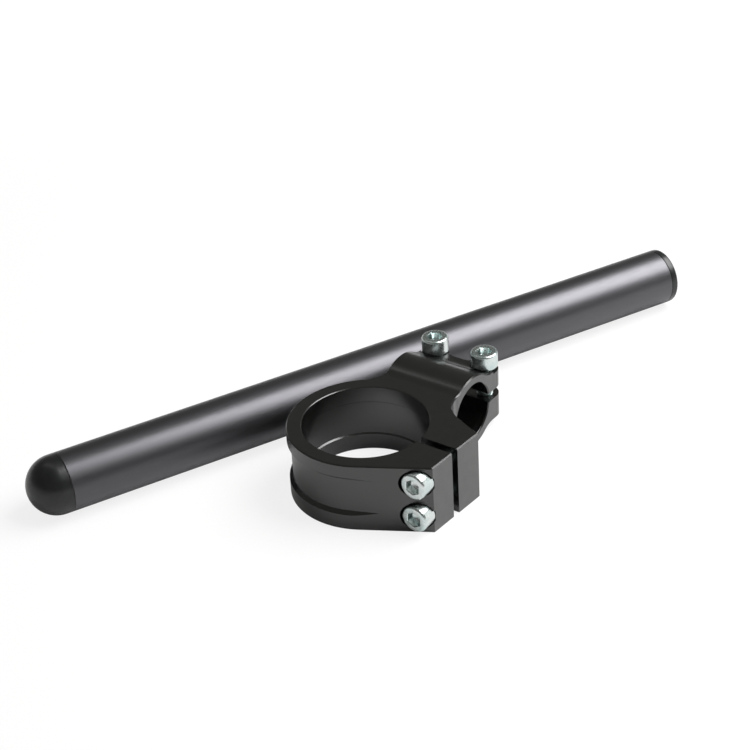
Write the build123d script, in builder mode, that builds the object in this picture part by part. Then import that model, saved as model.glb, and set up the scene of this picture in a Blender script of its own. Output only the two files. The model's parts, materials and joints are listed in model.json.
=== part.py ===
from build123d import *
import os
from math import acos, atan2, degrees, radians, sqrt, tan

# One side of a clip-on handlebar for a motorbike: a split clamp for the fork tube, with its own split
# boss for the bar, and the bar tube lying beside it with a plug in each end.
# Millimetres. The origin is on the fork axis at the clamp's resting face. +Z runs up the fork axis,
# +X along the bar bore towards the pinch ears, and +Y from the fork axis to the bar bore.

# Fork ring
fork_diameter = 45.0
ring_wall = 5.5
clamp_height = 26.5
fork_land = 6.2
fork_relief = 0.5
fork_mouth_chamfer = 0.25
groove_lower_lip = 5.8
groove_upper_lip = 5.1
groove_depth = 1.3
groove_runout_angle = 8.0

# Pinch ears
ear_length = 9.2
ear_head_side = 12.5
ear_thread_side = 13.5
ear_end_angle = 4.0
slot_width = 3.1

# Bar boss
bar_diameter = 22.0
bar_bore_clearance = 0.1
bar_mouth_chamfer = 0.4
boss_wall = 3.4
bore_web = 5.9
boss_middle = 3.6
bar_axis_rise = 1.25
slit_width = 3.6
jaw_top_rise = 9.9
jaw_bottom_drop = 10.7
boss_blend_radius = 10.0
jaw_blend_radius = 9.0
inner_corner_radius = 12.0
scallop_radius = 5.0
edge_break = 0.45

# Socket head cap screws
thread_diameter = 6.0
head_diameter = 10.0
head_height = 6.0
head_edge = 0.5
hex_across_flats = 5.0
hex_depth = 3.0
hole_clearance = 0.3
thread_clearance = 0.05
spot_face_margin = 0.5
fork_screw_length = 25.0
fork_screw_web = 5.5
fork_screw_spacing = 13.4
fork_screw_grip = 10.2
bar_screw_length = 20.0
bar_screw_web = 1.95
bar_screw_spacing = 21.5
bar_screw_stand_off = 1.4
bar_spot_face_depth = 1.3
lobe_margin = 0.1

# Bar
tube_length = 260.0
tube_wall = 4.0
tube_edge = 0.2
plug_clearance = 0.05
plug_spigot_length = 40.0
dome_straight = 2.5
flat_plug_rim = 3.0
flat_plug_edge = 1.0
lay_angle = 64.7
lay_gap = 0.9
lay_reach = 96.7

# Derived sizes of the clamp
fork_radius = fork_diameter / 2
ring_radius = fork_radius + ring_wall
bar_radius = bar_diameter / 2
bar_bore_radius = bar_radius + bar_bore_clearance
boss_radius = bar_bore_radius + boss_wall
bar_y = fork_radius + bore_web + bar_bore_radius
bar_z = clamp_height / 2 + bar_axis_rise
jaw_top = bar_z + jaw_top_rise
jaw_bottom = bar_z - jaw_bottom_drop

# Derived sizes and places of the screws
thread_radius = thread_diameter / 2
head_radius = head_diameter / 2
clearance_radius = thread_radius + hole_clearance
tapped_radius = thread_radius + thread_clearance
spot_face_radius = head_radius + spot_face_margin
lobe_radius = head_radius + lobe_margin
fork_screw_x = fork_radius + fork_screw_web + clearance_radius
fork_seat_y = -(slot_width / 2 + fork_screw_grip)
bar_screw_y = bar_y + bar_bore_radius + bar_screw_web + clearance_radius
bar_seat_z = jaw_top - bar_spot_face_depth
boss_length = bar_screw_spacing + 2 * lobe_radius
boss_front = boss_middle + boss_length / 2
boss_back = boss_middle - boss_length / 2
outer_y = bar_screw_y + lobe_radius
bar_screw_places = [
    (boss_middle - bar_screw_spacing / 2, bar_screw_y),
    (boss_middle + bar_screw_spacing / 2, bar_screw_y),
]
fork_screw_heights = [
    clamp_height / 2 - fork_screw_spacing / 2,
    clamp_height / 2 + fork_screw_spacing / 2,
]

# The ears' end face leans a little to the bar's axis
ear_reach = ring_radius + ear_length
end_slope = tan(radians(ear_end_angle))
head_corner = Vector(ear_reach - end_slope * ear_head_side, -ear_head_side)
thread_corner = Vector(ear_reach + end_slope * ear_thread_side, ear_thread_side)


def tangent_angle(corner, side):
    """Polar angle at which the flat from an ear corner touches the ring."""
    return degrees(atan2(corner.Y, corner.X)) + side * degrees(acos(ring_radius / corner.length))


def on_circle(radius, angle):
    """Point of the plan at a radius and polar angle about the fork axis."""
    return Vector(radius, 0).rotate(Axis.Z, angle)


head_flat_angle = tangent_angle(head_corner, -1)
thread_flat_angle = tangent_angle(thread_corner, 1)


# Shallow groove round the ring, with sloped flanks and a straight run-out at each end
floor_radius = ring_radius - groove_depth
groove_reach = ring_radius + 2 * groove_depth
blend_angle = degrees(acos((boss_back - inner_corner_radius) / (ring_radius + inner_corner_radius)))
groove_start = head_flat_angle - groove_runout_angle
groove_end = blend_angle + degrees(acos(floor_radius / ring_radius)) - 360
reach_turn = degrees(acos(floor_radius / groove_reach))
start_tip = groove_start + reach_turn
end_tip = groove_end - reach_turn
with BuildPart() as groove_cut:
    with BuildSketch(Plane.XY.offset(groove_lower_lip)):
        with BuildLine():
            Line(on_circle(groove_reach, start_tip), on_circle(floor_radius, groove_start))
            CenterArc((0, 0), floor_radius, groove_start, groove_end - groove_start)
            Line(on_circle(floor_radius, groove_end), on_circle(groove_reach, end_tip))
            CenterArc((0, 0), groove_reach, start_tip, end_tip - start_tip)
        make_face()
    extrude(amount=clamp_height - groove_lower_lip - groove_upper_lip)
    inner_rims = groove_cut.edges().filter_by(GeomType.CIRCLE).group_by(SortBy.RADIUS)[0]
    chamfer(inner_rims, groove_depth)

# Clamp body: plan outline and side profile crossed, then its bores, slot, slit and screw seats
with BuildPart() as clamp_body:
    with BuildSketch() as plan:
        Circle(ring_radius)
        with BuildLine():
            Polyline(
                (0, 0),
                on_circle(ring_radius, head_flat_angle),
                head_corner,
                thread_corner,
                on_circle(ring_radius, thread_flat_angle),
                close=True,
            )
        make_face()
        with Locations((boss_back, 0)):
            Rectangle(boss_length, bar_screw_y, align=(Align.MIN, Align.MIN))
        with Locations(*bar_screw_places):
            Circle(lobe_radius)
        front_corner = (boss_front, thread_corner.Y)
        back_corner = (boss_back, sqrt(ring_radius**2 - boss_back**2))
        fillet(plan.vertices().sort_by_distance(front_corner)[0], inner_corner_radius)
        fillet(plan.vertices().sort_by_distance(back_corner)[0], inner_corner_radius)
        for place, side in zip(bar_screw_places, (1, -1)):
            valley = (place[0] + side * lobe_radius, bar_screw_y)
            fillet(plan.vertices().sort_by_distance(valley)[0], scallop_radius)
    extrude(amount=bar_z + boss_radius)

    with BuildSketch(Plane.YZ) as side_profile:
        with Locations((-ring_radius, 0)):
            Rectangle(ring_radius + bar_y, clamp_height, align=(Align.MIN, Align.MIN))
        with Locations((bar_y, jaw_bottom)):
            Rectangle(outer_y - bar_y, jaw_top - jaw_bottom, align=(Align.MIN, Align.MIN))
        with Locations((bar_y, bar_z)):
            Circle(boss_radius)
        for side, height, radius in (
            (-1, clamp_height, boss_blend_radius),
            (1, jaw_top, jaw_blend_radius),
            (1, jaw_bottom, jaw_blend_radius),
        ):
            meeting = (bar_y + side * sqrt(boss_radius**2 - (height - bar_z) ** 2), height)
            fillet(side_profile.vertices().sort_by_distance(meeting)[0], radius)
    extrude(amount=ear_reach + ring_radius, both=True, mode=Mode.INTERSECT)

    # Break the rims where the upright walls meet the upper faces
    walls = clamp_body.faces().filter_by(lambda face: abs(face.normal_at().Z) < 1e-3)
    rims = walls.edges().filter_by(Axis.Z, reverse=True)
    chamfer(rims.filter_by(lambda edge: edge.center().Z > bar_z), edge_break)

    add(groove_cut.part, mode=Mode.SUBTRACT)

    # Fork bore with two contact lands and a relieved middle that slopes into them
    with BuildSketch(Plane.XZ) as fork_bore:
        with BuildLine():
            Polyline(
                (0, 0),
                (fork_radius, 0),
                (fork_radius, fork_land),
                (fork_radius + fork_relief, fork_land + fork_relief),
                (fork_radius + fork_relief, clamp_height - fork_land - fork_relief),
                (fork_radius, clamp_height - fork_land),
                (fork_radius, clamp_height - fork_mouth_chamfer),
                (fork_radius + fork_mouth_chamfer, clamp_height),
                (0, clamp_height),
                close=True,
            )
        make_face()
    revolve(axis=Axis.Z, mode=Mode.SUBTRACT)

    # Bar bore, drilled on past both faces so that the blends there leave the bar's way free
    mouth_radius = bar_bore_radius + bar_mouth_chamfer
    with BuildSketch(Plane.XY.offset(bar_z)) as bar_bore:
        with BuildLine():
            Polyline(
                (boss_back - inner_corner_radius, bar_y),
                (boss_back - inner_corner_radius, bar_y + mouth_radius),
                (boss_back, bar_y + mouth_radius),
                (boss_back + bar_mouth_chamfer, bar_y + bar_bore_radius),
                (boss_front - bar_mouth_chamfer, bar_y + bar_bore_radius),
                (boss_front, bar_y + mouth_radius),
                (boss_front + inner_corner_radius, bar_y + mouth_radius),
                (boss_front + inner_corner_radius, bar_y),
                close=True,
            )
        make_face()
    revolve(axis=Axis((0, bar_y, bar_z), (1, 0, 0)), mode=Mode.SUBTRACT)

    # Slot between the ears, and slit between the jaws
    with BuildSketch():
        Rectangle(2 * ear_reach, slot_width, align=(Align.MIN, Align.CENTER))
    extrude(amount=clamp_height, mode=Mode.SUBTRACT)
    with BuildSketch(Plane.YZ.offset(boss_back)):
        with Locations((bar_y, bar_z)):
            Rectangle(outer_y, slit_width, align=(Align.MIN, Align.CENTER))
    extrude(amount=boss_length, mode=Mode.SUBTRACT)

    # Fork screw seats, clearance holes in the head ear and tapped holes in the other
    fork_screw_places = [(fork_screw_x, height) for height in fork_screw_heights]
    seat_plane = Plane((0, fork_seat_y, 0), x_dir=(1, 0, 0), z_dir=(0, -1, 0))
    with BuildSketch(seat_plane):
        with Locations(*fork_screw_places):
            Circle(spot_face_radius)
    extrude(amount=ring_radius, mode=Mode.SUBTRACT)
    with BuildSketch(seat_plane):
        with Locations(*fork_screw_places):
            Circle(clearance_radius)
    extrude(amount=fork_seat_y, mode=Mode.SUBTRACT)
    with BuildSketch(Plane((0, 0, 0), x_dir=(1, 0, 0), z_dir=(0, -1, 0))):
        with Locations(*fork_screw_places):
            Circle(tapped_radius)
    extrude(amount=-ring_radius, mode=Mode.SUBTRACT)

    # Bar screw seats, clearance holes in the upper jaw and tapped holes in the lower one
    with BuildSketch(Plane.XY.offset(bar_seat_z)):
        with Locations(*bar_screw_places):
            Circle(spot_face_radius)
    extrude(amount=boss_radius, mode=Mode.SUBTRACT)
    with BuildSketch(Plane.XY.offset(bar_z)):
        with Locations(*bar_screw_places):
            Circle(clearance_radius)
    extrude(amount=boss_radius, mode=Mode.SUBTRACT)
    with BuildSketch(Plane.XY):
        with Locations(*bar_screw_places):
            Circle(tapped_radius)
    extrude(amount=bar_z, mode=Mode.SUBTRACT)
clamp_body.part.label = "clamp_body"


def cap_screw(seat, length):
    """Socket head cap screw, with its head's underside on a plane and its thread going down from it."""
    with BuildPart() as screw:
        with BuildSketch(seat):
            Circle(head_radius)
        extrude(amount=head_height)
        crown = screw.faces().sort_by(Axis(seat.origin, seat.z_dir))[-1]
        chamfer(crown.edges(), head_edge)
        with BuildSketch(seat.offset(head_height)):
            RegularPolygon(hex_across_flats / 2, 6, major_radius=False)
        extrude(amount=-hex_depth, mode=Mode.SUBTRACT)
        with BuildSketch(seat):
            Circle(thread_radius)
        extrude(amount=-length)
    return screw.part


# Screws: the fork screws are tight on their seats, the bar screws stand a little way out
fork_clamp_screws = Compound(
    label="fork_clamp_screws",
    children=[
        cap_screw(
            Plane((fork_screw_x, fork_seat_y, height), x_dir=(1, 0, 0), z_dir=(0, -1, 0)),
            fork_screw_length,
        )
        for height in fork_screw_heights
    ],
)
bar_clamp_screws = Compound(
    label="bar_clamp_screws",
    children=[
        cap_screw(Plane((*place, bar_seat_z + bar_screw_stand_off)), bar_screw_length)
        for place in bar_screw_places
    ],
)

# Bar, lying on the floor beside the boss: its frame starts at the seam of the domed end
bar_direction = on_circle(1, lay_angle)
bar_side = on_circle(1, lay_angle + 90)
lay_distance = Vector(*bar_screw_places[0]).dot(bar_side) + lobe_radius + lay_gap + bar_radius
dome_seam = bar_side * lay_distance - bar_direction * lay_reach + Vector(0, 0, bar_radius)
flat_seam = dome_seam + bar_direction * tube_length
tube_bore_radius = bar_radius - tube_wall
spigot_radius = tube_bore_radius - plug_clearance

with BuildPart() as bar_tube:
    with BuildSketch(Plane(dome_seam, z_dir=bar_direction)):
        Circle(bar_radius)
        Circle(tube_bore_radius, mode=Mode.SUBTRACT)
    extrude(amount=tube_length)
    rounds = bar_tube.edges().filter_by(GeomType.CIRCLE).group_by(SortBy.RADIUS)
    chamfer(rounds[-1], tube_edge)
bar_tube.part.label = "bar_tube"

# Plugs: turned profiles, with X out of the tube end and Y away from the bar's axis
with BuildPart() as domed_end_plug:
    with BuildSketch(Plane(dome_seam, x_dir=-bar_direction, z_dir=-bar_side)):
        with BuildLine():
            Polyline(
                (dome_straight + bar_radius, 0),
                (-plug_spigot_length, 0),
                (-plug_spigot_length, spigot_radius),
                (0, spigot_radius),
                (0, bar_radius - tube_edge),
                (tube_edge, bar_radius),
                (dome_straight, bar_radius),
            )
            CenterArc((dome_straight, 0), bar_radius, 0, 90)
        make_face()
    revolve(axis=Axis(dome_seam, bar_direction))
domed_end_plug.part.label = "domed_end_plug"

with BuildPart() as flat_end_plug:
    with BuildSketch(Plane(flat_seam, x_dir=bar_direction, z_dir=bar_side)) as flat_profile:
        with BuildLine():
            Polyline(
                (flat_plug_rim, 0),
                (-plug_spigot_length, 0),
                (-plug_spigot_length, spigot_radius),
                (0, spigot_radius),
                (0, bar_radius - tube_edge),
                (tube_edge, bar_radius),
                (flat_plug_rim, bar_radius),
                close=True,
            )
        make_face()
        outer_corner = (flat_plug_rim, bar_radius)
        chamfer(flat_profile.vertices().sort_by_distance(outer_corner)[0], flat_plug_edge)
    revolve(axis=Axis(flat_seam, bar_direction))
flat_end_plug.part.label = "flat_end_plug"

os.makedirs("parts", exist_ok=True)
export_step(clamp_body.part, "parts/clamp_body.step")
export_step(fork_clamp_screws, "parts/fork_clamp_screws.step")
export_step(bar_clamp_screws, "parts/bar_clamp_screws.step")
export_step(bar_tube.part, "parts/bar_tube.step")
export_step(domed_end_plug.part, "parts/domed_end_plug.step")
export_step(flat_end_plug.part, "parts/flat_end_plug.step")
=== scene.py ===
"""Looks of a clip-on handlebar: its clamp, screws, bar and end plugs, in a plain studio."""

import json
import logging
import math
from dataclasses import dataclass
from enum import Enum

import bpy
from mathutils import Matrix, Vector


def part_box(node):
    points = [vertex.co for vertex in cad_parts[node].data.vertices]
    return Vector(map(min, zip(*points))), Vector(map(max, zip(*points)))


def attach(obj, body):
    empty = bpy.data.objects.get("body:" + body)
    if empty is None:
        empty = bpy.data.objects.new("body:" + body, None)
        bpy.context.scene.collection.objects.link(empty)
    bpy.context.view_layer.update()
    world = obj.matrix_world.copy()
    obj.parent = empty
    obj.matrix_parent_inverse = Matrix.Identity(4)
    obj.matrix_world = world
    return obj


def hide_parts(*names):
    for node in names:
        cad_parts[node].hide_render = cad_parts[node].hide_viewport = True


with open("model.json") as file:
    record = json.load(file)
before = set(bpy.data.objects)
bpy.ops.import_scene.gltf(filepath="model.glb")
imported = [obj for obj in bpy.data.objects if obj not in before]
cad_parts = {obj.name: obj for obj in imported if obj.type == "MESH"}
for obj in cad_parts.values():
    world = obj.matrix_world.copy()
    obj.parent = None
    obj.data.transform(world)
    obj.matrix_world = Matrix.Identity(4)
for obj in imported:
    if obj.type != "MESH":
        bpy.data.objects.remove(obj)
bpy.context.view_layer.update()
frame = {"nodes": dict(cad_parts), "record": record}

MM = 0.001
UP = Vector((0, 0, 1))
BODY = "root"
log = logging.getLogger("clip_on_handlebar")

# Points of a turned piece that lie within this many millimetres are one point
WELD_REACH = 0.001
# Colour sockets of the mix node, which share their names with its other kinds
MIX_FIRST, MIX_SECOND, MIX_RESULT = 6, 7, 2

Colour = tuple[float, float, float]
Span = tuple[float, float]
Profile = list[tuple[float, float]]


class Slot(Enum):
    """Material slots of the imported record."""

    CLAMP = "anodised_clamp"
    BAR = "anodised_bar"
    SCREW = "zinc_screw"
    PLUG = "end_plug"


# Bench: the operators that shape every new piece


def clear_selection() -> None:
    """Deselect all objects, so that operators act on the new piece alone."""
    bpy.ops.object.select_all(action="DESELECT")


def take(piece: bpy.types.Object) -> None:
    """Make a piece the only selected object, and the active one.

    Args:
        piece: The object that the next operators act on.
    """
    clear_selection()
    piece.select_set(True)
    bpy.context.view_layer.objects.active = piece


def arc(centre: tuple[float, float], radius: float, start: float, end: float, steps: int) -> Profile:
    """Points of a round stretch of a profile.

    Args:
        centre: Its centre, as a radius and a height in millimetres.
        radius: Its own radius in millimetres.
        start: Its first angle in degrees.
        end: Its last angle in degrees.
        steps: The number of chords.

    Returns:
        The points from the first angle to the last, both included.
    """
    angles = [math.radians(start + (end - start) * step / steps) for step in range(steps + 1)]
    return [(centre[0] + radius * math.cos(a), centre[1] + radius * math.sin(a)) for a in angles]


def turn(name: str, profile: Profile, sides: int, bored: bool = False) -> bpy.types.Object:
    """Turn a piece about the Z axis, by extruding a circle ring by ring.

    Args:
        name: The piece's name.
        profile: Radius and height of each ring in millimetres, from the lowest one on.
        sides: Sides of each ring.
        bored: True where the profile closes round a bore, so that no ring is filled.

    Returns:
        The turned object, with its place in its mesh.
    """
    clear_selection()
    (radius, height), *rest = profile
    bpy.ops.mesh.primitive_circle_add(
        vertices=sides,
        radius=radius * MM,
        fill_type="NOTHING" if bored else "NGON",
        location=(0, 0, height * MM),
    )
    piece = bpy.context.object
    piece.name = name
    bpy.ops.object.mode_set(mode="EDIT")
    bpy.ops.mesh.select_all(action="SELECT")
    for next_radius, next_height in rest:
        rise = (next_height - height) * MM
        bpy.ops.mesh.extrude_region_move(TRANSFORM_OT_translate={"value": (0, 0, rise)})
        if next_radius == 0:
            bpy.ops.mesh.merge(type="CENTER")
            break
        share = next_radius / radius
        bpy.ops.transform.resize(value=(share, share, 1), center_override=(0, 0, next_height * MM))
        radius, height = next_radius, next_height
    bpy.ops.mesh.select_all(action="SELECT")
    bpy.ops.mesh.remove_doubles(threshold=WELD_REACH * MM)
    bpy.ops.mesh.normals_make_consistent(inside=False)
    bpy.ops.object.mode_set(mode="OBJECT")
    bpy.ops.object.transform_apply(location=True, rotation=True, scale=True)
    return piece


def bevel(piece: bpy.types.Object, width: float, angle: float, segments: int = 3) -> None:
    """Round the sharp edges of a piece.

    Args:
        piece: The piece.
        width: Width of the rounding in millimetres.
        angle: Edges sharper than this are rounded, in degrees.
        segments: Steps across the rounding.
    """
    take(piece)
    rounding = piece.modifiers.new("rounded_edges", "BEVEL")
    rounding.width = width * MM
    rounding.segments = segments
    rounding.limit_method = "ANGLE"
    rounding.angle_limit = math.radians(angle)
    rounding.miter_outer = "MITER_ARC"
    bpy.ops.object.modifier_apply(modifier=rounding.name)


def cut(piece: bpy.types.Object, cutter: bpy.types.Object) -> None:
    """Cut one piece with another, and delete the cutter.

    Args:
        piece: The piece that stays.
        cutter: The shape that is taken away from it.
    """
    take(piece)
    removal = piece.modifiers.new("cut", "BOOLEAN")
    removal.operation = "DIFFERENCE"
    removal.solver = "EXACT"
    removal.object = cutter
    bpy.ops.object.modifier_apply(modifier=removal.name)
    bpy.data.objects.remove(cutter)


def smooth(piece: bpy.types.Object, angle: float) -> None:
    """Shade a piece smooth, but for edges sharper than an angle in degrees."""
    take(piece)
    bpy.ops.object.shade_smooth_by_angle(angle=math.radians(angle))


def even_normals(piece: bpy.types.Object) -> None:
    """Let large faces set the shading, so that flat ones look flat beside their rounded edges.

    Args:
        piece: The piece.
    """
    take(piece)
    weighing = piece.modifiers.new("even_normals", "WEIGHTED_NORMAL")
    weighing.keep_sharp = True
    bpy.ops.object.modifier_apply(modifier=weighing.name)


def settle(piece: bpy.types.Object, place: Vector, direction: Vector) -> None:
    """Set a piece that was made upright at the origin to its place, in its mesh.

    Args:
        piece: The piece.
        place: Where its origin goes, in metres.
        direction: Where its Z axis points.
    """
    take(piece)
    turned = UP.rotation_difference(direction).to_matrix().to_4x4()
    piece.matrix_world = Matrix.Translation(place) @ turned
    bpy.ops.object.transform_apply(location=True, rotation=True, scale=True)


def hand_over(piece: bpy.types.Object, node: str, slot: Slot, *materials: bpy.types.Material) -> None:
    """Give a finished piece its materials, and let it stand for its CAD node.

    Args:
        piece: The finished piece.
        node: The CAD node that it stands for.
        slot: The record's slot that its finish belongs to. It is not used.
        materials: Its materials, in the order of its faces' numbers.
    """
    while piece.data.materials:
        piece.data.materials.pop()
    for material in materials:
        piece.data.materials.append(material)
    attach(piece, BODY)
    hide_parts(node)
    log.info("%s stands for %s, %d faces", piece.name, node, len(piece.data.polygons))


# Finishes


def remap(
    tree: bpy.types.NodeTree, value: bpy.types.NodeSocket, given: Span, wanted: Span, soft: bool = False
) -> bpy.types.NodeSocket:
    """Map a value from one range to another.

    Args:
        tree: The nodes of a material or of the world.
        value: The value.
        given: Its own range.
        wanted: The range that it is mapped to.
        soft: True where both ends of the range are eased.

    Returns:
        The mapped value.
    """
    node = tree.nodes.new("ShaderNodeMapRange")
    node.interpolation_type = "SMOOTHSTEP" if soft else "LINEAR"
    for end, number in zip(("From Min", "From Max", "To Min", "To Max"), (*given, *wanted)):
        node.inputs[end].default_value = number
    tree.links.new(value, node.inputs["Value"])
    return node.outputs["Result"]


def combine(
    tree: bpy.types.NodeTree, operation: str, first: bpy.types.NodeSocket, second: bpy.types.NodeSocket
) -> bpy.types.NodeSocket:
    """Join two values by an operation of the math node.

    Args:
        tree: The nodes of a material or of the world.
        operation: Blender's name of the operation.
        first: The first value.
        second: The second value.

    Returns:
        The joined value.
    """
    node = tree.nodes.new("ShaderNodeMath")
    node.operation = operation
    tree.links.new(first, node.inputs[0])
    tree.links.new(second, node.inputs[1])
    return node.outputs[0]


class Grain:
    """Node group with a fine and a broad pattern over a surface, which every finish uses.

    The two ranges are those in which nearly all values of a pattern lie.
    """

    NAME = "surface_grain"
    BROAD_SHARE = 0.06
    FINE_DETAIL = 3.0
    BROAD_DETAIL = 2.0
    FINE_RANGE = (0.3, 0.7)
    BROAD_RANGE = (0.35, 0.65)

    @classmethod
    def group(cls) -> bpy.types.NodeTree:
        """Make the group, once.

        Returns:
            The node group, with the outputs Fine and Broad from 0 to 1.
        """
        found = bpy.data.node_groups.get(cls.NAME)
        if found:
            return found
        tree = bpy.data.node_groups.new(cls.NAME, "ShaderNodeTree")
        tree.interface.new_socket("Vector", in_out="INPUT", socket_type="NodeSocketVector")
        tree.interface.new_socket("Scale", in_out="INPUT", socket_type="NodeSocketFloat")
        tree.interface.new_socket("Fine", in_out="OUTPUT", socket_type="NodeSocketFloat")
        tree.interface.new_socket("Broad", in_out="OUTPUT", socket_type="NodeSocketFloat")
        way_in = tree.nodes.new("NodeGroupInput")
        way_out = tree.nodes.new("NodeGroupOutput")
        fine = tree.nodes.new("ShaderNodeTexNoise")
        fine.inputs["Detail"].default_value = cls.FINE_DETAIL
        broad_scale = tree.nodes.new("ShaderNodeMath")
        broad_scale.operation = "MULTIPLY"
        broad_scale.inputs[1].default_value = cls.BROAD_SHARE
        broad = tree.nodes.new("ShaderNodeTexNoise")
        broad.inputs["Detail"].default_value = cls.BROAD_DETAIL
        tree.links.new(way_in.outputs["Vector"], fine.inputs["Vector"])
        tree.links.new(way_in.outputs["Scale"], fine.inputs["Scale"])
        tree.links.new(way_in.outputs["Scale"], broad_scale.inputs[0])
        tree.links.new(way_in.outputs["Vector"], broad.inputs["Vector"])
        tree.links.new(broad_scale.outputs[0], broad.inputs["Scale"])
        tree.links.new(fine.outputs["Fac"], way_out.inputs["Fine"])
        tree.links.new(broad.outputs["Fac"], way_out.inputs["Broad"])
        return tree


@dataclass(frozen=True)
class Finish:
    """A finish with a grain that varies its colour, its gloss and its height a little.

    The grain is counted in patterns in each metre, and its relief is a height in millimetres. Stretch is
    the length of the patterns along X against Y and Z, after a turn about Z by the heading in degrees.
    """

    name: str
    dark: Colour
    light: Colour
    roughness: Span
    ior: float
    grain: float
    relief: float
    metallic: float = 0.0
    stretch: float = 1.0
    heading: float = 0.0
    specular_tint: Colour = (1.0, 1.0, 1.0)

    def material(self) -> bpy.types.Material:
        """Build the material.

        Returns:
            A node material on object coordinates.
        """
        made = bpy.data.materials.new(self.name)
        made.use_nodes = True
        tree = made.node_tree
        nodes, links = tree.nodes, tree.links
        shader = nodes["Principled BSDF"]
        shader.inputs["Metallic"].default_value = self.metallic
        shader.inputs["IOR"].default_value = self.ior
        shader.inputs["Specular Tint"].default_value = (*self.specular_tint, 1)
        place = nodes.new("ShaderNodeTexCoord")
        lie = nodes.new("ShaderNodeMapping")
        lie.vector_type = "TEXTURE"
        lie.inputs["Rotation"].default_value = (0, 0, math.radians(self.heading))
        lie.inputs["Scale"].default_value = (self.stretch, 1, 1)
        grain = nodes.new("ShaderNodeGroup")
        grain.node_tree = Grain.group()
        grain.inputs["Scale"].default_value = self.grain
        links.new(place.outputs["Object"], lie.inputs["Vector"])
        links.new(lie.outputs["Vector"], grain.inputs["Vector"])
        roughness = remap(tree, grain.outputs["Fine"], Grain.FINE_RANGE, self.roughness)
        links.new(roughness, shader.inputs["Roughness"])
        tone = nodes.new("ShaderNodeValToRGB")
        ends = zip(tone.color_ramp.elements, Grain.BROAD_RANGE, (self.dark, self.light))
        for element, position, colour in ends:
            element.position = position
            element.color = (*colour, 1)
        links.new(grain.outputs["Broad"], tone.inputs["Fac"])
        links.new(tone.outputs["Color"], shader.inputs["Base Color"])
        bump = nodes.new("ShaderNodeBump")
        bump.inputs["Strength"].default_value = 1.0
        bump.inputs["Distance"].default_value = self.relief * MM
        links.new(grain.outputs["Fine"], bump.inputs["Height"])
        links.new(bump.outputs["Normal"], shader.inputs["Normal"])
        return made


CLAMP_FINISH = Finish(
    name="black_anodised_clamp",
    dark=(0.0030, 0.0030, 0.0028),
    light=(0.0042, 0.0042, 0.0038),
    roughness=(0.20, 0.27),
    ior=1.78,
    grain=5200.0,
    relief=0.002,
)
# Painted light: the ends across the bar's axis get a lighter copy of the clamp's black anodising, which
# stands in for light falling on them; their rougher gloss is the milled finish
END_FACE_PAINTED_LIGHT_FINISH = Finish(
    name="black_anodised_milled_ends_painted_light",
    dark=(0.046, 0.046, 0.046),
    light=(0.054, 0.054, 0.054),
    roughness=(0.36, 0.44),
    ior=1.78,
    grain=5200.0,
    relief=0.003,
)
BAR_FINISH = Finish(
    name="black_anodised_bar",
    dark=(0.0018, 0.0018, 0.0020),
    light=(0.0030, 0.0030, 0.0033),
    roughness=(0.36, 0.44),
    ior=2.0,
    grain=4200.0,
    relief=0.0015,
    stretch=18.0,
    heading=64.7,
    specular_tint=(0.945, 0.93, 1.0),
)
SCREW_FINISH = Finish(
    name="bright_zinc",
    dark=(0.56, 0.66, 0.65),
    light=(0.71, 0.75, 0.74),
    roughness=(0.23, 0.3),
    ior=1.5,
    grain=3600.0,
    relief=0.0006,
    metallic=1.0,
)
PLUG_FINISH = Finish(
    name="black_moulded_plastic",
    dark=(0.006, 0.007, 0.007),
    light=(0.009, 0.010, 0.010),
    roughness=(0.28, 0.36),
    ior=1.5,
    grain=6200.0,
    relief=0.002,
)


# Pieces


@dataclass
class Clamp:
    """The clamp body, as its CAD solid, with every sharp edge eased.

    Sizes are in millimetres, angles in degrees. An end is a face with at least this share of its
    normal along X and this area in square millimetres.
    """

    node: str = "clamp_body"
    weld_reach: float = 0.0005
    flat_angle: float = 0.2
    edge_width: float = 0.3
    edge_angle: float = 24.0
    smooth_angle: float = 30.0
    end_normal: float = 0.98
    end_area: float = 50.0

    def build(self) -> bpy.types.Object:
        """Copy the CAD solid, join its triangles and ease its edges.

        Returns:
            The clamp's piece.
        """
        source = frame["nodes"][self.node]
        piece = bpy.data.objects.new("clamp", source.data.copy())
        bpy.context.scene.collection.objects.link(piece)
        take(piece)
        bpy.ops.object.mode_set(mode="EDIT")
        bpy.ops.mesh.select_all(action="SELECT")
        bpy.ops.mesh.remove_doubles(threshold=self.weld_reach * MM)
        bpy.ops.mesh.dissolve_limited(angle_limit=math.radians(self.flat_angle))
        bpy.ops.object.mode_set(mode="OBJECT")
        bevel(piece, self.edge_width, self.edge_angle)
        smooth(piece, self.smooth_angle)
        even_normals(piece)
        return piece

    def mark_painted_light_ends(self, piece: bpy.types.Object) -> None:
        """Give the second material, a lighter copy of the clamp's that paints light on them, to the
        broad flat faces across the bar's axis.

        Args:
            piece: The clamp's piece.
        """
        for face in piece.data.polygons:
            across = abs(face.normal.x) > self.end_normal
            broad = face.area > self.end_area * MM * MM
            face.material_index = int(across and broad)

    def dress(self) -> None:
        """Build the piece and give it its finish, with the lighter copy that paints light on its ends.
        """
        piece = self.build()
        # The second material paints light on the clamp's end faces
        hand_over(piece, self.node, Slot.CLAMP, CLAMP_FINISH.material(), END_FACE_PAINTED_LIGHT_FINISH.material())
        self.mark_painted_light_ends(piece)


HEX_SIDES = 6
# One tooth of a metric thread from root to root, in steps outwards in depths and along in pitches
TOOTH = ((0, 1 / 4), (1, 5 / 16), (0, 1 / 8), (-1, 5 / 16))


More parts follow.
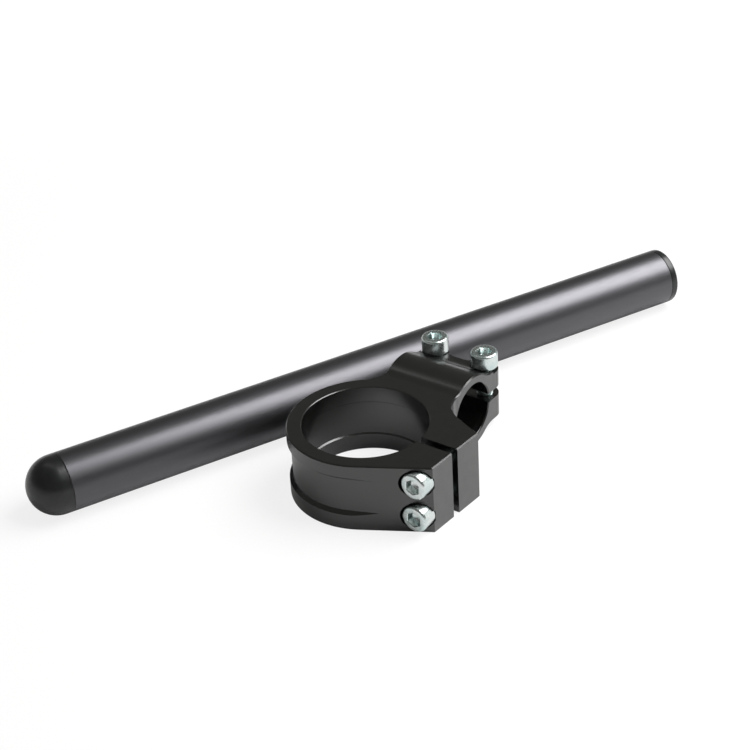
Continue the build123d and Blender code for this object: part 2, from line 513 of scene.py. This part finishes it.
@dataclass
class CapScrew:
    """A socket head cap screw with its real thread, made upright with its head's seat at the origin.

    Sizes are in millimetres, angles in degrees. The drilled bottom of the socket is given in shares of
    half the width across its flats.
    """

    length: float
    thread_diameter: float = 6.0
    pitch: float = 1.0
    thread_depth: float = 0.58
    spare_turns: int = 2
    head_diameter: float = 10.0
    head_height: float = 6.0
    crown_radius: float = 1.0
    crown_steps: int = 5
    seat_edge: float = 0.25
    neck_radius: float = 0.4
    neck_steps: int = 4
    neck_length: float = 0.9
    hex_across_flats: float = 5.0
    hex_depth: float = 3.0
    drill_tip_share: float = 0.1
    drill_depth_share: float = 0.5
    lead_in: float = 0.25
    socket_edge: float = 0.1
    socket_edge_angle: float = 50.0
    socket_edge_steps: int = 2
    tip_chamfer: float = 0.7
    weld_reach: float = 0.002
    saw_reach: float = 0.0005
    smooth_angle: float = 32.0
    sides: int = 96

    def head(self) -> bpy.types.Object:
        """Turn the head and its neck, and cut the socket.

        Returns:
            The head.
        """
        radius = self.head_diameter / 2
        neck = self.thread_diameter / 2 - self.thread_depth / 2
        crown_centre = (radius - self.crown_radius, self.head_height - self.crown_radius)
        crown = arc(crown_centre, self.crown_radius, start=0, end=90, steps=self.crown_steps)
        fillet_centre = (neck + self.neck_radius, -self.neck_radius)
        fillet = arc(fillet_centre, self.neck_radius, start=180, end=90, steps=self.neck_steps)
        profile = [
            (neck, -self.neck_length - self.pitch),
            *fillet,
            (radius - self.seat_edge, 0),
            (radius, self.seat_edge),
            *crown,
        ]
        piece = turn("cap_screw_head", profile, self.sides)
        cut(piece, self.socket())
        bevel(piece, self.socket_edge, self.socket_edge_angle, self.socket_edge_steps)
        return piece

    def socket(self) -> bpy.types.Object:
        """Shape the cutter of the hexagon socket, with its drilled bottom and its lead-in.

        Returns:
            The cutter.
        """
        flat = self.hex_across_flats / 2
        corner = flat / math.cos(math.pi / HEX_SIDES)
        floor = self.head_height - self.hex_depth
        profile = [
            (flat * self.drill_tip_share, floor - flat * self.drill_depth_share),
            (corner, floor),
            (corner, self.head_height - self.lead_in),
            (corner + 2 * self.lead_in, self.head_height + self.lead_in),
        ]
        return turn("socket_cutter", profile, HEX_SIDES)

    def thread(self) -> bpy.types.Object:
        """Wind the thread from one tooth of its profile, and cut it off square at both ends.

        Returns:
            The threaded shank.
        """
        root = self.thread_diameter / 2 - self.thread_depth
        start = -self.length - self.pitch
        clear_selection()
        bpy.ops.mesh.primitive_plane_add(size=MM, location=(0, 0, 0))
        piece = bpy.context.object
        piece.name = "cap_screw_thread"
        bpy.ops.object.mode_set(mode="EDIT")
        bpy.ops.mesh.select_all(action="SELECT")
        bpy.ops.mesh.merge(type="CENTER")
        bpy.ops.transform.translate(value=(root * MM, 0, start * MM))
        for way_out, share in TOOTH:
            step = (way_out * self.thread_depth * MM, 0, share * self.pitch * MM)
            bpy.ops.mesh.extrude_region_move(TRANSFORM_OT_translate={"value": step})
        bpy.ops.object.mode_set(mode="OBJECT")
        winding = piece.modifiers.new("winding", "SCREW")
        winding.axis = "Z"
        winding.angle = math.tau
        winding.screw_offset = self.pitch * MM
        winding.iterations = math.ceil(self.length / self.pitch) + self.spare_turns
        winding.steps = self.sides // 2
        winding.render_steps = winding.steps
        bpy.ops.object.modifier_apply(modifier=winding.name)
        bpy.ops.object.mode_set(mode="EDIT")
        bpy.ops.mesh.select_all(action="SELECT")
        bpy.ops.mesh.remove_doubles(threshold=self.weld_reach * MM)
        self.saw(-self.length, -1)
        self.saw(-self.neck_length, 1)
        bpy.ops.mesh.select_all(action="SELECT")
        bpy.ops.mesh.normals_make_consistent(inside=False)
        bpy.ops.object.mode_set(mode="OBJECT")
        self.point(piece)
        return piece

    def saw(self, height: float, way: int) -> None:
        """Cut the thread in edit mode square to its axis, and close the cut.

        Args:
            height: Height of the cut in millimetres.
            way: 1 to take away what lies above the cut, -1 for what lies below it.
        """
        bpy.ops.mesh.select_all(action="SELECT")
        bpy.ops.mesh.bisect(
            plane_co=(0, 0, height * MM),
            plane_no=(0, 0, way),
            use_fill=True,
            clear_outer=True,
            threshold=self.saw_reach * MM,
        )

    def point(self, thread: bpy.types.Object) -> None:
        """Bevel the tip of a thread.

        Args:
            thread: The threaded shank.
        """
        tip = -self.length * MM
        smallest = self.thread_diameter / 2 * MM - self.tip_chamfer * MM
        for vertex in thread.data.vertices:
            reach = math.hypot(vertex.co.x, vertex.co.y)
            allowed = smallest + (vertex.co.z - tip)
            if reach > allowed:
                vertex.co.x *= allowed / reach
                vertex.co.y *= allowed / reach

    def build(self, name: str) -> bpy.types.Object:
        """Join the head and the thread.

        Args:
            name: The screw's name.

        Returns:
            The screw, upright.
        """
        head = self.head()
        thread = self.thread()
        take(head)
        thread.select_set(True)
        bpy.ops.object.join()
        head.name = name
        smooth(head, self.smooth_angle)
        return head


@dataclass
class ScrewPair:
    """Two like screws that stand for one CAD node, placed from that node's box.

    Outward is where their heads point, and spread the way from the first to the second.
    """

    node: str
    names: tuple[str, str]
    outward: Vector
    spread: Vector

    def __post_init__(self) -> None:
        """Read the pair's place and size from the box of the node."""
        low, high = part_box(self.node)
        self.centre = (low + high) / 2
        self.overall = abs((high - low).dot(self.outward))
        self.width = abs((high - low).dot(self.spread))

    def places(self, screw: CapScrew) -> list[Vector]:
        """Find the two seats.

        Args:
            screw: The sizes of one screw.

        Returns:
            The middle of each head's underside, in metres.
        """
        half = self.width / 2 - screw.head_diameter / 2 * MM
        top = self.centre + self.outward * self.overall / 2
        seat = top - self.outward * screw.head_height * MM
        return [seat - self.spread * half, seat + self.spread * half]

    def dress(self, material: bpy.types.Material) -> None:
        """Build one screw, copy it and set both in their places.

        Args:
            material: The screws' material.
        """
        screw = CapScrew(length=self.overall / MM - CapScrew.head_height)
        first = screw.build(self.names[0])
        second = bpy.data.objects.new(self.names[1], first.data.copy())
        bpy.context.scene.collection.objects.link(second)
        for piece, place in zip((first, second), self.places(screw)):
            settle(piece, place, self.outward)
            hand_over(piece, self.node, Slot.SCREW, material)


@dataclass
class Bar:
    """The bar tube and the plugs in its ends, on the axis of the record's bar mount.

    Sizes are in millimetres, angles in degrees.
    """

    mount: str = "bar_grip"
    tube_wall: float = 4.0
    tube_edge: float = 0.2
    plug_clearance: float = 0.05
    spigot_length: float = 40.0
    dome_straight: float = 2.5
    dome_steps: int = 40
    rim_length: float = 3.0
    rim_round: float = 1.0
    rim_steps: int = 8
    smooth_angle: float = 30.0
    sides: int = 160

    def __post_init__(self) -> None:
        """Read the bar's axis and size from the record."""
        found = next(m for m in frame["record"]["mounts"] if m["name"] == self.mount)
        self.direction = Vector(found["axis"]).normalized()
        self.radius = found["dims"]["r_mm"]
        self.length = found["dims"]["length_mm"] + 2 * self.tube_edge
        middle = Vector(found["pos_m"])
        self.dome_seam = middle - self.direction * self.length / 2 * MM
        self.flat_seam = middle + self.direction * self.length / 2 * MM

    def tube(self) -> bpy.types.Object:
        """Turn the tube, with its bore and the small bevels of its ends.

        Returns:
            The tube.
        """
        bore = self.radius - self.tube_wall
        end = self.radius - self.tube_edge
        profile = [
            (bore, 0),
            (end, 0),
            (self.radius, self.tube_edge),
            (self.radius, self.length - self.tube_edge),
            (end, self.length),
            (bore, self.length),
            (bore, 0),
        ]
        return turn("bar", profile, self.sides, bored=True)

    def spigot(self) -> Profile:
        """Give the stretch of profile that both plugs share, up to the full width of the bar.

        Returns:
            The points from the plug's inner end to the bar's outside.
        """
        inside = self.radius - self.tube_wall - self.plug_clearance
        return [
            (inside, -self.spigot_length),
            (inside, 0),
            (self.radius - self.tube_edge, 0),
            (self.radius, self.tube_edge),
        ]

    def domed_plug(self) -> bpy.types.Object:
        """Turn the plug with the round end.

        Returns:
            The plug.
        """
        dome = arc((0, self.dome_straight), self.radius, start=0, end=90, steps=self.dome_steps)
        return turn("domed_plug", [*self.spigot(), *dome[:-1], (0, dome[-1][1])], self.sides)

    def flat_plug(self) -> bpy.types.Object:
        """Turn the plug with the flat end and the rounded rim.

        Returns:
            The plug.
        """
        centre = (self.radius - self.rim_round, self.rim_length - self.rim_round)
        rim = arc(centre, self.rim_round, start=0, end=90, steps=self.rim_steps)
        return turn("flat_plug", [*self.spigot(), *rim], self.sides)

    def dress(self) -> None:
        """Build the tube and both plugs, and set them on the bar's axis."""
        plastic = PLUG_FINISH.material()
        pieces = (
            (self.tube(), self.dome_seam, self.direction, "bar_tube", Slot.BAR, BAR_FINISH.material()),
            (self.domed_plug(), self.dome_seam, -self.direction, "domed_end_plug", Slot.PLUG, plastic),
            (self.flat_plug(), self.flat_seam, self.direction, "flat_end_plug", Slot.PLUG, plastic),
        )
        for piece, seam, direction, node, slot, material in pieces:
            smooth(piece, self.smooth_angle)
            settle(piece, seam, direction)
            hand_over(piece, node, slot, material)


# Studio


@dataclass
class Studio:
    """Pale floor, white background, two soft lamps above, a bright card and the photograph's camera.

    Places and sizes are in metres, but for the camera's place, lens and sensor in millimetres.
    """

    lamp_place: Vector = Vector((0.63, 0.72, 1.0))
    lamp_size: tuple[float, float] = (1.05, 1.25)
    lamp_radiance: float = 8.1
    room_colour: Colour = (1.0, 1.0, 0.94)
    room_level: float = 0.16
    strip_place: Vector = Vector((-0.50, 0.04, 0.88))
    strip_size: tuple[float, float] = (0.8, 0.1)
    strip_radiance: float = 1.5
    card_place: Vector = Vector((1.05, 0.98, 0.34))
    card_size: tuple[float, float] = (0.9, 0.5)
    card_radiance: float = 1.0
    backdrop_low: float = 0.02
    backdrop_high: float = 0.08
    floor_size: float = 30.0
    floor_colour: float = 0.78
    floor_glow: float = 0.78
    floor_far_glow: float = 1.0
    mirrored_glow: float = 0.1
    mirrored_far_glow: float = 0.55
    glow_start: float = 0.25
    glow_end: float = 0.7
    white: float = 1.06
    lens: float = 89.514
    sensor: float = 36.0
    clip_start: float = 0.01
    camera_place: Vector = Vector((329.28, -438.06, 382.71))
    camera_right: Vector = Vector((0.82098, 0.56881, -0.04974))
    camera_down: Vector = Vector((0.26422, -0.45568, -0.85004))

    @staticmethod
    def mirrored(tree: bpy.types.NodeTree, path: bpy.types.Node) -> bpy.types.NodeSocket:
        """Join the rays that see the background in gloss and in glass.

        Args:
            tree: The nodes of a material or of the world.
            path: Its light path node.

        Returns:
            A value of 1 for such rays.
        """
        rays = (path.outputs["Is Glossy Ray"], path.outputs["Is Transmission Ray"])
        return combine(tree, "MAXIMUM", *rays)

    def glow_share(
        self,
        tree: bpy.types.NodeTree,
        reach: bpy.types.NodeSocket,
        rays: bpy.types.NodeSocket,
        near: float,
        far: float,
    ) -> bpy.types.NodeSocket:
        """Work out how much of the floor glows for some rays, more of it further out.

        Args:
            tree: The floor's nodes.
            reach: Distance from the object.
            rays: A value of 1 for the rays that are meant.
            near: The share of glow beside the object.
            far: The share of glow far out.

        Returns:
            The share of glow.
        """
        fade = remap(tree, reach, (self.glow_start, self.glow_end), (near, far), soft=True)
        return combine(tree, "MULTIPLY", fade, rays)

    def floor(self) -> None:
        """Lay the floor, which keeps a soft shadow near the object and turns white further out."""
        clear_selection()
        bpy.ops.mesh.primitive_plane_add(size=self.floor_size, location=(0, 0, 0))
        piece = bpy.context.object
        piece.name = "floor"
        made = bpy.data.materials.new("pale_floor")
        made.use_nodes = True
        tree = made.node_tree
        nodes, links = tree.nodes, tree.links
        nodes.remove(nodes["Principled BSDF"])
        matt = nodes.new("ShaderNodeBsdfDiffuse")
        matt.inputs["Color"].default_value = (self.floor_colour, self.floor_colour, self.floor_colour, 1)
        glow = nodes.new("ShaderNodeEmission")
        glow.inputs["Strength"].default_value = self.white
        place = nodes.new("ShaderNodeTexCoord")
        length = nodes.new("ShaderNodeVectorMath")
        length.operation = "LENGTH"
        links.new(place.outputs["Object"], length.inputs[0])
        reach = length.outputs["Value"]
        path = nodes.new("ShaderNodeLightPath")
        seen = self.glow_share(
            tree, reach, path.outputs["Is Camera Ray"], self.floor_glow, self.floor_far_glow
        )
        in_gloss = self.glow_share(
            tree, reach, self.mirrored(tree, path), self.mirrored_glow, self.mirrored_far_glow
        )
        blend = nodes.new("ShaderNodeMixShader")
        links.new(combine(tree, "MAXIMUM", seen, in_gloss), blend.inputs["Fac"])
        links.new(matt.outputs["BSDF"], blend.inputs[1])
        links.new(glow.outputs["Emission"], blend.inputs[2])
        links.new(blend.outputs["Shader"], nodes["Material Output"].inputs["Surface"])
        piece.data.materials.append(made)

    def world(self) -> None:
        """Set a dim room with a white backdrop along the horizon, white all over for the camera."""
        world = bpy.data.worlds.new("studio")
        bpy.context.scene.world = world
        world.use_nodes = True
        tree = world.node_tree
        nodes, links = tree.nodes, tree.links
        way = nodes.new("ShaderNodeTexCoord")
        split = nodes.new("ShaderNodeSeparateXYZ")
        links.new(way.outputs["Generated"], split.inputs["Vector"])
        path = nodes.new("ShaderNodeLightPath")
        low = remap(tree, split.outputs["Z"], (self.backdrop_high, self.backdrop_low), (0, 1), soft=True)
        in_gloss = combine(tree, "MULTIPLY", low, self.mirrored(tree, path))
        white = combine(tree, "MAXIMUM", in_gloss, path.outputs["Is Camera Ray"])
        room = [part * self.room_level for part in self.room_colour]
        tone = nodes.new("ShaderNodeMix")
        tone.data_type = "RGBA"
        tone.inputs[MIX_FIRST].default_value = (*room, 1)
        tone.inputs[MIX_SECOND].default_value = (1, 1, 1, 1)
        links.new(white, tone.inputs["Factor"])
        links.new(tone.outputs[MIX_RESULT], nodes["Background"].inputs["Color"])
        nodes["Background"].inputs["Strength"].default_value = 1.0

    @staticmethod
    def lamp(name: str, place: Vector, aim: Vector, size: tuple[float, float], radiance: float) -> None:
        """Set up a soft lamp.

        Args:
            name: The lamp's name.
            place: Its middle, in metres.
            aim: Where it faces.
            size: Its length and width, in metres.
            radiance: How bright its face is, where 1 is white.
        """
        data = bpy.data.lights.new(name, "AREA")
        data.shape = "RECTANGLE"
        data.size, data.size_y = size
        data.energy = radiance * math.pi * data.size * data.size_y
        lamp = bpy.data.objects.new(name, data)
        bpy.context.scene.collection.objects.link(lamp)
        lamp.location = place
        lamp.rotation_euler = aim.to_track_quat("-Z", "Y").to_euler()

    def camera(self) -> None:
        """Set the camera where the photograph was taken from."""
        data = bpy.data.cameras.new("camera")
        data.lens = self.lens
        data.sensor_width = self.sensor
        data.sensor_fit = "HORIZONTAL"
        data.clip_start = self.clip_start
        camera = bpy.data.objects.new("camera", data)
        bpy.context.scene.collection.objects.link(camera)
        right = self.camera_right.normalized()
        up = -self.camera_down.normalized()
        back = right.cross(up)
        turned = Matrix((right, up, back)).transposed().to_4x4()
        camera.matrix_world = Matrix.Translation(self.camera_place * MM) @ turned
        bpy.context.scene.camera = camera

    def build(self) -> None:
        """Build the whole studio."""
        self.floor()
        self.world()
        self.lamp("soft_lamp", self.lamp_place, -UP, self.lamp_size, self.lamp_radiance)
        self.lamp("strip_lamp", self.strip_place, -UP, self.strip_size, self.strip_radiance)
        self.lamp("bright_card", self.card_place, -self.card_place, self.card_size, self.card_radiance)
        self.camera()
        bpy.context.scene.view_settings.view_transform = "Standard"


def main() -> None:
    """Build the studio and every piece."""
    logging.basicConfig(level=logging.INFO)
    Studio().build()
    Clamp().dress()
    zinc = SCREW_FINISH.material()
    ScrewPair(
        node="fork_clamp_screws",
        names=("fork_screw_low", "fork_screw_high"),
        outward=Vector((0, -1, 0)),
        spread=UP,
    ).dress(zinc)
    ScrewPair(
        node="bar_clamp_screws",
        names=("bar_screw_back", "bar_screw_front"),
        outward=UP,
        spread=Vector((1, 0, 0)),
    ).dress(zinc)
    Bar().dress()


if __name__ == "__main__":
    main()
